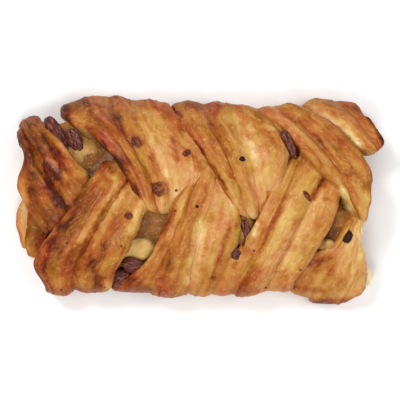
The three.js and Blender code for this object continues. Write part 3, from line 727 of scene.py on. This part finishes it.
def ridge_browning(fold, place, left, part):
    """The browning of each ridge along its length and towards its sides."""
    bake = 0
    u = 2 * part - 1
    for ridge, (root, middle, tip, left_more, right_more) in enumerate(fold["bake"]):
        along = np.interp(place, BAKE_PLACES, (root, middle, tip))[:, None]
        here = along + left_more * smooth(0.1, 1, -u) + right_more * smooth(0.1, 1, u)
        bake = np.where(left == ridge, here, bake)
    return bake


def mark_browning_and_shade(fold, rings):
    """What the strongest browner and paler streaks add. Some of them are painted shade, and some painted
    light.
    """
    marks = [amount * streak(rings, *place_and_width) for *place_and_width, amount in fold["marks"]]
    none = np.zeros(rings.shape[:2])
    return np.maximum.reduce([none, *marks]) + np.minimum.reduce([none, *marks])


def fold_object(number, name, fold, stations_of, closed_root):
    """One fold as a closed piece, with its browning, painted shade and light, and its places along and
    across the strip.
    """
    t, s, places, ups = fold_lines(number, fold, stations_of)
    last = places.shape[1] - 1
    widths = np.linalg.norm(np.diff(places, axis=1), axis=-1).mean(axis=0)
    starts = np.concatenate([[0], np.cumsum(widths)])

    # Columns over the top, then back below it
    ridge, u = top_columns(widths)
    under = np.linspace(1, -1, UNDERSIDE_COLUMNS + 2)[1:-1]
    v = np.concatenate([ridge + (u + 1) / 2, (under + 1) / 2 * last])
    left = np.minimum(v.astype(int), last - 1)
    part = v - left
    below = -SOLE * (1 - np.abs(under) ** SOLE_POWER) ** (1 / SOLE_POWER) + 0 * s
    height = np.concatenate([ridge_heights(fold, t, ridge, u), below], axis=1)

    # Relief of the skin, which fades towards the fold's edges
    strip = grid_of(s, mix(starts[left], starts[left + 1], part), STRIP_SPACING * number)
    relief, browner, warped = dough_skin(number, strip, starts[-1])
    edge = np.minimum(v, last - v) * widths.mean()
    is_top = np.arange(len(v)) < len(u)
    height = height + np.where(is_top, smooth(-0.4, 1.6, edge), 0) * relief

    # The ends close round
    from_end = (np.minimum(t, 1 - t) if closed_root else 1 - t) / fold.get("end_rounding", END_ROUNDING)
    closing = np.sqrt(1 - (1 - np.minimum(1, from_end)) ** 2)
    closing = np.maximum(END_SIZE, closing)[:, None, None]
    heart = mix(places[:, :1], places[:, -1:], 0.5)
    base = mix(heart, mix(places[:, left], places[:, left + 1], part[:, None]), closing)
    up = unit(mix(ups[:, left], ups[:, left + 1], part[:, None]))
    rings = base + up * height[..., None] * closing

    # Browning, which starts above the foot, with the painted shade and painted light of some marks
    steps = len(fold["lines"][0]) - 1
    foot = 0 if closed_root else 1
    place = (t * (steps + foot) - foot) / steps
    bake = ridge_browning(fold, place, left, part) + mark_browning_and_shade(fold, rings)
    bake = bake + browner + 0.09 * noise(rings, 4, 33)
    return tube_object(name, rings, {"bake": bake, "strip": warped})


def sheet_object():
    """The dough sheet: a plate with rounded corners, its edge drawn in at the table and at the top."""
    angle = np.linspace(0, 2 * np.pi, 400, endpoint=False)
    part = np.linspace(0, 1, 16)[:, None]
    grown = -SHEET["edge"] * np.abs(2 * part - 1) ** 3
    x = SHEET["middle"][0] + (SHEET["half_length"] + grown) * bulged(np.cos(angle), SHEET["power"])
    y = SHEET["middle"][1] + (SHEET["half_width"] + grown) * bulged(np.sin(angle), SHEET["power"])
    rings = grid_of(x, y, mix(FOOT_HEIGHT, SHEET["height"], part))
    outward = unit(rings * (1, 1, 0) + (0, 0, 1e-6))
    rings = rings + outward * layered(noise, rings, SHEET_RELIEF)[..., None]
    strip = grid_of(2 * rings[..., 2], rings[..., 0], rings[..., 1])
    bake = 0.5 + 0.12 * noise(rings, 7, 43)
    return tube_object("sheet", rings, {"bake": bake, "strip": strip})


# The form of the filling and the pecans


def filling_object(name, margin):
    """A long low mound from one end of the pastry to the other, with its lumps."""
    along = -np.cos(np.linspace(0, np.pi, 153))[:, None]
    narrow = np.maximum(0.002, 1 - np.abs(along) ** FILLING["end_power"]) ** (1 / FILLING["end_power"])
    angle = np.linspace(0, np.pi, 120)
    high = bulged(np.maximum(0, np.sin(angle)), FILLING["power"])
    wide = bulged(np.cos(angle), FILLING["power"])
    crest = (FILLING["crest"] - FILLING["floor"]) * narrow + 2 * margin
    x = FILLING["middle"][0] + along * (FILLING["half_length"] + margin)
    y = FILLING["middle"][1] + wide * (FILLING["half_width"] * narrow + margin)
    rings = grid_of(x, y, FILLING["floor"] - margin + crest * high)
    lumps = layered(noise, rings, FILLING_UNEVEN) + layered(ridged, rings, FILLING_GRAINS)
    pale = np.zeros(rings.shape[:2])
    for *ellipse, rise, paleness in FILLING_LUMPS:
        here = spot(rings, *ellipse)
        lumps = lumps + rise * here
        pale = pale + paleness * smooth(0.1, 0.5, here)
    crumbly = layered(noise, rings, SOFT_UNEVEN) + layered(ridged, rings, SOFT_GRAINS)
    lumps = lumps + np.clip(pale, 0, 1) * crumbly
    rings[..., 2] += lumps * smooth(0.5, 0.9, high)
    return tube_object(name, rings, {"pale": pale})


def pecan_object(name, place, heading, size, seed):
    """A piece of pecan: a long drop with grooves along it."""
    turn = np.linspace(0, 2 * np.pi, 96, endpoint=False)
    lean = np.linspace(0.02, np.pi - 0.02, 60)[:, None]
    groove = 1 - PECAN_GROOVE_DEPTH * (1 + np.cos(PECAN_GROOVES * turn))
    radius = np.sin(lean) * groove * (1 - PECAN_TAPER * np.cos(lean))
    shape = grid_of(np.cos(lean), radius * np.cos(turn), radius * np.sin(turn))
    rings = shape * np.array(size) / 2
    wrinkles = [(0.36, (2.4, 1.6, 1.6), seed), (0.18, (0.9, 0.5, 0.5), seed + 1)]
    rings = rings + unit(rings) * layered(noise, rings, wrinkles)[..., None]
    x, y = turned(rings[..., 0], rings[..., 1], heading)
    return tube_object(name, grid_of(x, y, rings[..., 2]) + np.array(place), {"grain": rings})


# The form of the crumbs


def lump_object(name, number, lump, ground, seed):
    """A closed lump that sticks to the ground below it, with a dent in its top."""
    x, y, length, width, heading, rise, depth, char = lump
    hit, normal, _, _ = ground.ray_cast(Vector((x, y, 2 * HALF_WIDTH)) * MM, Vector((0, 0, -1)))
    up = np.array(normal)
    along = np.array([*turned(1, 0, heading), 0])
    along = unit(along - up * along.dot(up))
    turn = np.linspace(0, 2 * np.pi, 28, endpoint=False)
    lean = np.linspace(0.05, np.pi - 0.05, 16)[:, None]
    ball = grid_of(np.sin(lean) * np.cos(turn), np.sin(lean) * np.sin(turn), np.cos(lean))
    from_dent = np.hypot(ball[..., 0] - DENT_PLACE[0], ball[..., 1] - DENT_PLACE[1])
    ball[..., 2] *= 1 - depth * np.exp(-((from_dent / DENT_WIDTH) ** 2)) * (lean < np.pi / 2)
    rough = 1 + layered(noise, ball + 5 * number, [(0.26, 0.5, seed), (0.2, 0.24, seed + 1)])
    shape = ball * rough[..., None] * np.array([length, width, 2 * rise]) / 2
    rings = shape @ np.array([along, np.cross(up, along), up]) + np.array(hit) / MM
    height = shape[..., 2] / rise
    return tube_object(name, rings, {"height": height, "char": np.full_like(height, char)})


def lumps_object(name, lumps, ground, seed):
    """Several lumps in one mesh."""
    pieces = [lump_object(name, number, lump, ground, seed) for number, lump in enumerate(lumps)]
    shape = bmesh.new()
    for piece in pieces:
        shape.from_mesh(piece.data)
    shape.to_mesh(pieces[0].data)
    shape.free()
    for piece in pieces[1:]:
        bpy.data.objects.remove(piece)
    pieces[0].name = name
    return pieces[0]


# Materials


class Nodes:
    """A short way to build a material's nodes."""

    def __init__(self, name):
        self.material = bpy.data.materials.new(name)
        self.material.use_nodes = True
        self.tree = self.material.node_tree
        self.shader = self.tree.nodes["Principled BSDF"]

    def add(self, kind, inputs=(), **settings):
        node = self.tree.nodes.new(kind)
        for key, value in settings.items():
            setattr(node, key, value)
        for key, value in dict(inputs).items():
            self.put(node.inputs[key], value)
        return node

    def put(self, socket, value):
        if isinstance(value, bpy.types.NodeSocket):
            self.tree.links.new(value, socket)
        else:
            socket.default_value = value

    def place(self):
        return self.add("ShaderNodeTexCoord").outputs["Object"]

    def attribute(self, name, output="Fac"):
        return self.add("ShaderNodeAttribute", attribute_name=name).outputs[output]

    def math(self, operation, a, b):
        node = self.add("ShaderNodeMath", operation=operation)
        self.put(node.inputs[0], a)
        self.put(node.inputs[1], b)
        return node.outputs[0]

    def noise(self, vector, scale, detail, stretch=(1, 1, 1)):
        mapping = self.add("ShaderNodeMapping", {"Vector": vector, "Scale": stretch})
        inputs = {"Vector": mapping.outputs[0], "Scale": scale, "Detail": detail}
        return self.add("ShaderNodeTexNoise", inputs).outputs["Fac"]

    def ramp(self, factor, stops):
        node = self.add("ShaderNodeValToRGB", {"Fac": factor})
        while len(node.color_ramp.elements) < len(stops):
            node.color_ramp.elements.new(0.5)
        for element, (place, colour) in zip(node.color_ramp.elements, stops):
            element.position = place
            element.color = linear(*colour)
        return node.outputs[0]

    def blend(self, factor, a, b, kind="MIX"):
        node = self.add("ShaderNodeMix", data_type="RGBA", blend_type=kind)
        self.put(node.inputs["Factor"], factor)
        self.put(node.inputs["A"], a)
        self.put(node.inputs["B"], b)
        return node.outputs["Result"]

    def bump(self, height, distance):
        inputs = {"Height": height, "Distance": distance, "Strength": 0.8}
        return self.add("ShaderNodeBump", inputs).outputs[0]

    def surface(self, **inputs):
        for key, value in inputs.items():
            self.put(self.shader.inputs[key.replace("_", " ")], value)


BLACK = (0, 0, 0)
WHITE = (255, 255, 255)
# How far light spreads inside dough, for each colour.
SCATTER = (0.004, 0.002, 0.001)
# Screen colours, 0 to 255, from one noise or browning value to the next.
BAKE_COLOURS = [
    (0.0, (240, 226, 190)), (0.05, (223, 190, 138)), (0.2, (202, 156, 96)),
    (0.38, (190, 133, 74)), (0.52, (176, 112, 54)), (0.66, (160, 88, 38)),
    (0.8, (134, 65, 25)), (0.9, (110, 49, 20)), (1.0, (76, 32, 20)),
]
JELLY_COLOURS = [(0.35, (94, 52, 16)), (0.5, (128, 79, 30)), (0.7, (162, 108, 48))]
SOFT_COLOURS = [(0.35, (190, 150, 84)), (0.6, (214, 182, 116))]
PECAN_COLOURS = [(0.3, (46, 21, 21)), (0.5, (90, 44, 37)), (0.72, (138, 82, 66))]
CRUMB_COLOURS = [(0.35, (60, 24, 18)), (0.65, (124, 62, 40))]
BROWN_COLOURS = [(0.4, (94, 50, 22)), (0.75, (146, 90, 46))]
CHAR_COLOURS = [(0.4, (24, 14, 14)), (0.75, (70, 50, 52))]


def dough_material():
    """Flaky dough, browned by the bake attribute and streaked along the strips, under a thin glaze, with
    painted shade in the hollows and painted glints.
    """
    nodes = Nodes("baked dough")
    strip = nodes.attribute("strip", "Vector")
    where = nodes.place()
    streaks = nodes.noise(strip, 1, 3, stretch=(0.16, 0.9, 1))
    fine = nodes.noise(strip, 1, 4, stretch=(0.8, 2.2, 1))
    blotches = nodes.noise(where, 220, 4)
    mottle = nodes.noise(where, 700, 4)
    # The cleft makes hollows paler, as dough browns less there, and darkens them with painted shade.
    cleft = nodes.attribute("cleft")
    bake = nodes.math("SUBTRACT", nodes.attribute("bake"), nodes.math("MULTIPLY", cleft, 0.06))
    for value, size in ((streaks, 0.12), (fine, 0.12), (blotches, 0.17), (mottle, 0.14)):
        part = nodes.math("SUBTRACT", value, 0.5)
        bake = nodes.math("ADD", bake, nodes.math("MULTIPLY", part, size))
    colour = nodes.ramp(bake, BAKE_COLOURS)
    # Painted shade in the hollows.
    colour = nodes.blend(cleft, colour, linear(240, 208, 160), "MULTIPLY")
    # Painted glints: pale flecks of glaze highlight, strongest on paler dough.
    painted_glints = nodes.ramp(nodes.noise(strip, 1, 3, stretch=(0.8, 1.7, 1)), [(0.57, BLACK), (0.7, WHITE)])
    pale = nodes.math("SUBTRACT", 0.56, nodes.math("MULTIPLY", bake, 0.45))
    colour = nodes.blend(nodes.math("MULTIPLY", painted_glints, pale), colour, linear(238, 182, 120))
    patches = nodes.noise(strip, 1, 3, stretch=(0.08, 0.24, 1))
    hue = nodes.math("ADD", nodes.math("MULTIPLY", patches, 0.08), 0.4635)
    colour = nodes.add("ShaderNodeHueSaturation", {"Hue": hue, "Color": colour}).outputs[0]
    grain = nodes.math("ADD", nodes.math("MULTIPLY", fine, 0.6), nodes.noise(where, 1500, 3))
    nodes.surface(
        Base_Color=colour, Normal=nodes.bump(grain, 0.00025), Roughness=0.5, Specular_IOR_Level=0.1,
        Coat_Weight=0.08, Coat_Roughness=0.18,
        Subsurface_Weight=0.05, Subsurface_Radius=SCATTER, Subsurface_Scale=0.4,
    )
    return nodes.material


def filling_material():
    nodes = Nodes("maple filling")
    where = nodes.place()
    patches = nodes.noise(where, 130, 3)
    jelly = nodes.ramp(patches, JELLY_COLOURS)
    soft = nodes.ramp(patches, SOFT_COLOURS)
    colour = nodes.blend(nodes.attribute("pale"), jelly, soft)
    grains = nodes.ramp(nodes.noise(where, 1500, 2), [(0.58, BLACK), (0.66, WHITE)])
    colour = nodes.blend(nodes.math("MULTIPLY", grains, 0.35), colour, linear(206, 160, 96))
    relief = nodes.bump(nodes.noise(where, 900, 4), 0.0004)
    nodes.surface(
        Base_Color=colour, Normal=relief, Roughness=0.4, Specular_IOR_Level=0.12,
        Coat_Weight=0.1, Coat_Roughness=0.25,
        Subsurface_Weight=0.15, Subsurface_Radius=SCATTER, Subsurface_Scale=0.5,
    )
    return nodes.material


def pecan_material():
    nodes = Nodes("pecan skin")
    grain = nodes.noise(nodes.attribute("grain", "Vector"), 1, 4, stretch=(0.5, 1.8, 1.8))
    relief = nodes.bump(nodes.noise(nodes.place(), 1300, 4), 0.0003)
    nodes.surface(
        Base_Color=nodes.ramp(grain, PECAN_COLOURS), Normal=relief, Roughness=0.42,
        Specular_IOR_Level=0.15, Coat_Weight=0.2, Coat_Roughness=0.22,
    )
    return nodes.material


def crumb_material():
    nodes = Nodes("nut crumb")
    grain = nodes.noise(nodes.place(), 1100, 3)
    rim = nodes.ramp(nodes.attribute("height"), [(0.2, WHITE), (0.6, BLACK)])
    colour = nodes.blend(rim, nodes.ramp(grain, CRUMB_COLOURS), linear(164, 94, 46))
    nodes.surface(
        Base_Color=colour, Normal=nodes.bump(grain, 0.0003), Roughness=0.5,
        Specular_IOR_Level=0.15, Coat_Weight=0.1, Coat_Roughness=0.2,
    )
    return nodes.material


def speck_material():
    nodes = Nodes("scorched speck")
    grain = nodes.noise(nodes.place(), 1800, 3)
    brown = nodes.ramp(grain, BROWN_COLOURS)
    black = nodes.ramp(grain, CHAR_COLOURS)
    colour = nodes.blend(nodes.attribute("char"), brown, black)
    relief = nodes.bump(grain, 0.0002)
    nodes.surface(Base_Color=colour, Normal=relief, Roughness=0.55, Specular_IOR_Level=0.1)
    return nodes.material


# The pieces


def cleft_of(mesh):
    """How deep each point lies below the mean height round it, from 0 to 1, seen from above."""
    cell = 0.5
    margin = 6
    points = positions(mesh)
    low = points.min(axis=0) - margin
    size = ((points.max(axis=0) + margin - low) / cell).astype(int)[:2] + 1
    x, y = ((points[:, :2] - low[:2]) / cell).astype(int).T
    heights = np.zeros(size)
    np.maximum.at(heights, (x, y), points[:, 2])
    window = np.hanning(15)
    window /= window.sum()
    for axis in (0, 1):
        heights = np.apply_along_axis(np.convolve, axis, heights, window, mode="same")
    return smooth(0.6, 3.5, heights[x, y] - points[:, 2]) * smooth(3, 8, points[:, 2])


def finish_piece(piece, material, node=None):
    """Gives a piece its material and its body, and hides the plain part of the node that it stands for, if
    any.
    """
    piece.data.materials.clear()
    piece.data.materials.append(material)
    piece.data.shade_smooth()
    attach(piece, "root")
    if node:
        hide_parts(node)


def make_dough():
    piece = sheet_object()
    strips = [(name, fold, fold_stations, False) for name, fold in FOLDS.items()]
    strips += [(name, {**LOBE_SECTION, **lobe}, lobe_stations, True) for name, lobe in LOBES.items()]
    combine(piece, [fold_object(number, *strip) for number, strip in enumerate(strips)], "UNION")
    combine(piece, [filling_object("room", -CLING), block_below(4 * HALF_LENGTH)], "DIFFERENCE")
    keep_largest(piece)
    heal(piece.data, {"bake": 1, "strip": 3})
    fill_creases(piece.data)
    # The cleft makes the hollows paler and paints shade into them.
    store(piece.data, "cleft", cleft_of(piece.data))
    piece.name = "pastry"
    finish_piece(piece, dough_material(), "dough")
    return piece


def make_filling():
    finish_piece(filling_object("maple_filling", 0), filling_material(), "filling")


def make_pecans():
    material = pecan_material()
    for number, (x, y, z, heading, *size) in enumerate(PECANS, 1):
        piece = pecan_object(f"pecan_piece_{number}", (x, y, z), heading, size, 60 + 2 * number)
        finish_piece(piece, material, f"pecan_{number}")


def make_crumbs(pastry):
    """The crumbs and specks that lie on the crust. A speck is a low lump, turned any way."""
    shape = bmesh.new()
    shape.from_mesh(pastry.data)
    ground = BVHTree.FromBMesh(shape)
    shape.free()
    crumbs = lumps_object("crumbs", [(*crumb, 0) for crumb in CRUMBS], ground, 80)
    finish_piece(crumbs, crumb_material())
    lumps = [(x, y, width, 0.85 * width, 37 * x, 0.26 * width, 0, char) for x, y, width, char in SPECKS]
    finish_piece(lumps_object("specks", lumps, ground, 90), speck_material())


# The stage, the light and the camera, in metres but for the sensor

CAMERA_HEIGHT = 1.2
CAMERA_SENSOR = 36
FRAME_WIDTH = 0.136
AIM = (0.00017, 0, 0.008)
# Soft lamps: x, y, z, size and power. The world only fills the shadows.
WORLD_LIGHT = 0.4
LAMPS = [(-0.4, 0.45, 0.9, 0.3, 5.6), (0.5, 0, 0.9, 0.4, 3), (-0.1, -0.5, 0.9, 0.4, 4)]


def make_stage():
    mesh = bpy.data.meshes.new("floor")
    mesh.from_pydata([(-1, -1, 0), (1, -1, 0), (1, 1, 0), (-1, 1, 0)], [], [(0, 1, 2, 3)])
    floor = new_object("floor", mesh)
    nodes = Nodes("pale floor")
    nodes.surface(Base_Color=(0.94, 0.94, 0.94, 1), Roughness=0.9)
    mesh.materials.append(nodes.material)


def make_light():
    world = bpy.data.worlds.new("soft light")
    world.use_nodes = True
    background = world.node_tree.nodes["Background"]
    background.inputs["Color"].default_value = (1, 1, 1, 1)
    background.inputs["Strength"].default_value = WORLD_LIGHT
    bpy.context.scene.world = world
    for number, (x, y, z, size, power) in enumerate(LAMPS, 1):
        lamp = bpy.data.lights.new(f"lamp_{number}", "AREA")
        lamp.size = size
        lamp.energy = power
        holder = new_object(f"lamp_{number}", lamp)
        holder.location = (x, y, z)
        holder.rotation_euler = (-holder.location).to_track_quat("-Z", "Y").to_euler()


def make_camera():
    data = bpy.data.cameras.new("camera")
    data.sensor_width = CAMERA_SENSOR
    data.lens = CAMERA_SENSOR * CAMERA_HEIGHT / FRAME_WIDTH
    camera = new_object("camera", data)
    camera.location = Vector(AIM) + Vector((0, 0, CAMERA_HEIGHT))
    bpy.context.scene.camera = camera
    bpy.context.scene.view_settings.view_transform = "Standard"


make_camera()
pastry = make_dough()
make_filling()
make_pecans()
make_crumbs(pastry)
make_stage()
make_light()
